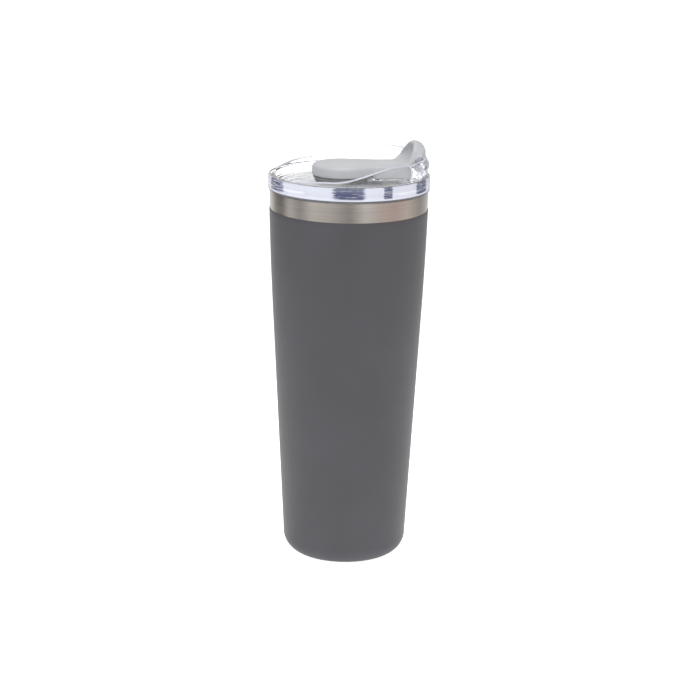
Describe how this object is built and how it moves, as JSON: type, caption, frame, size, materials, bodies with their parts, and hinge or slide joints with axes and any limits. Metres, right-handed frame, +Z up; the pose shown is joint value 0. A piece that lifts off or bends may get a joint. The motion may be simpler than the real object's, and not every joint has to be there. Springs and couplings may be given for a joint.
{
  "type": "insulated tumbler",
  "caption": "Tapered double-walled drinking tumbler with a bare steel band, and a clear press-in lid whose grey closure flips up on a pin.",
  "frame": {"origin": "middle of the base, on the surface the tumbler stands on", "axes": "+Z up along the cup's axis; +X from the axis towards the lid's hinge"},
  "size_m": [0.08, 0.08, 0.2105],
  "materials": {
    "brushed_steel": "brushed stainless steel",
    "charcoal_powder_coat": "satin powder coat",
    "copper_foil": "thin copper foil",
    "sealing_glass": "fused glass bead",
    "getter_alloy": "sintered metal pellet",
    "clear_plastic": "clear polished plastic",
    "grey_plastic": "satin light grey plastic",
    "dark_silicone": "matt dark grey silicone",
    "pale_silicone": "translucent pale silicone"
  },
  "bodies": {
    "cup": {"outer_wall": "brushed_steel", "powder_coat": "charcoal_powder_coat", "inner_wall": "brushed_steel", "foil_wrap": "copper_foil", "outer_bottom": "brushed_steel", "vacuum_seal": "sealing_glass", "base_cover": "brushed_steel", "getter": "getter_alloy", "getter_clip": "brushed_steel"},
    "seal_ring": {"lid_seal": "pale_silicone"},
    "lid": {"lid_body": "clear_plastic", "hinge_pin": "brushed_steel"},
    "closure": {"flip_closure": "grey_plastic", "closure_seal": "dark_silicone", "vent_plug": "dark_silicone"}
  },
  "joints": [
    {"name": "lid_lift", "type": "slide", "parent": "cup", "child": "seal_ring", "axis": [0, 0, 1], "range_m": [0, 0.06]},
    {"name": "lid_turn", "type": "hinge", "parent": "seal_ring", "child": "lid", "pos_m": [0, 0, 0.19], "axis": [0, 0, 1], "continuous": true},
    {"name": "flip_hinge", "type": "hinge", "parent": "lid", "child": "closure", "pos_m": [0.0338, 0, 0.2002], "axis": [0, 1, 0], "range_deg": [0, 88]}
  ]
}
